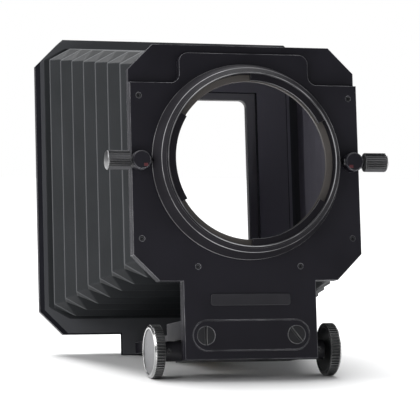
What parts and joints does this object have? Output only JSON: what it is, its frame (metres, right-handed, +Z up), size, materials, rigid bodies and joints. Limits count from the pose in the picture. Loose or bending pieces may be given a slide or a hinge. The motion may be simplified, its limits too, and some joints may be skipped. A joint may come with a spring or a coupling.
{
  "type": "bellows lens hood",
  "caption": "Folding bellows lens hood on a rack-driven rail, with a bayonet ring for the lens at one end and a filter frame with a window at the other.",
  "frame": {"origin": "on the optical axis, level with the outer faces of the bayonet's lugs, 9.5 mm in front of the cover plate", "axes": "+Y runs along the optical axis from the lens to the front frame, +Z is up away from the rail, +X is to the right seen from the lens"},
  "size_m": [0.1324, 0.1363, 0.1647],
  "materials": {
    "plate_black": "satin black anodised",
    "ring_black": "glossy black anodised",
    "seat_worn": "black anodised, worn to a brown grey",
    "knob_black": "black anodised with bright turned edges",
    "knob_satin": "satin turned",
    "bright_steel": "bright turned",
    "rack_brass": "milled",
    "dark_screw": "blackened",
    "index_red": "red enamel",
    "bellows_cloth": "coated bellows cloth"
  },
  "bodies": {
    "lens_standard": {"back_plate": "plate_black", "cover_plate": "plate_black", "cover_screws": "dark_screw", "name_plate": "plate_black", "guide_block": "plate_black", "gear_housing": "plate_black", "housing_bolts": "bright_steel", "shaft_bush_left": "bright_steel", "shaft_bush_right": "bright_steel", "grub_screws": "bright_steel", "screw_post_left": "plate_black", "screw_post_right": "plate_black", "index_marks": "index_red", "bellows": "bellows_cloth", "bellows_rear_clamp": "plate_black"},
    "bayonet_ring": {"mount_ring": "ring_black", "bayonet_sleeve": "ring_black", "bayonet_seat": "seat_worn"},
    "front_standard": {"front_frame": "plate_black", "filter_frame": "plate_black", "front_plate": "plate_black", "frame_screws": "bright_steel", "bellows_front_clamp": "plate_black", "rail": "plate_black", "rack": "rack_brass", "rack_screws": "bright_steel", "rail_end_plate": "plate_black", "end_plate_screws": "bright_steel", "rail_bolts": "bright_steel"},
    "focus_shaft": {"focus_axle": "bright_steel", "pinion": "bright_steel", "focus_knob_left": "knob_black", "focus_knob_right": "knob_black", "knob_disc_left": "knob_satin", "knob_disc_right": "knob_satin"},
    "stud_left": {"thumb_stud_left": "bright_steel"},
    "head_left": {"thumb_knob_left": "knob_black"},
    "stud_right": {"thumb_stud_right": "bright_steel"},
    "head_right": {"thumb_knob_right": "knob_black"}
  },
  "joints": [
    {"name": "rail_slide", "type": "slide", "parent": "lens_standard", "child": "front_standard", "axis": [0, 1, 0], "range_m": [-0.0825, 0], "deforming": ["bellows"]},
    {"name": "focus_turn", "type": "hinge", "parent": "lens_standard", "child": "focus_shaft", "pos_m": [0, 0.0241, -0.0802], "axis": [1, 0, 0], "range_deg": [0, 1314]},
    {"name": "ring_turn", "type": "hinge", "parent": "lens_standard", "child": "bayonet_ring", "pos_m": [0, 0, 0], "axis": [0, 1, 0], "continuous": true},
    {"name": "stud_left_slide", "type": "slide", "parent": "lens_standard", "child": "stud_left", "axis": [-1, 0, 0], "range_m": [0, 0.0014]},
    {"name": "head_left_turn", "type": "hinge", "parent": "stud_left", "child": "head_left", "pos_m": [-0.055, 0.00705, 0], "axis": [-1, 0, 0], "range_deg": [0, 720]},
    {"name": "stud_right_slide", "type": "slide", "parent": "lens_standard", "child": "stud_right", "axis": [1, 0, 0], "range_m": [0, 0.0014]},
    {"name": "head_right_turn", "type": "hinge", "parent": "stud_right", "child": "head_right", "pos_m": [0.055, 0.00705, 0], "axis": [1, 0, 0], "range_deg": [0, 720]}
  ],
  "couplings": [
    {"joint": "focus_turn", "follows": "rail_slide", "rad_per_m": -277.78},
    {"joint": "head_left_turn", "follows": "stud_left_slide", "rad_per_m": 8976},
    {"joint": "head_right_turn", "follows": "stud_right_slide", "rad_per_m": 8976}
  ]
}
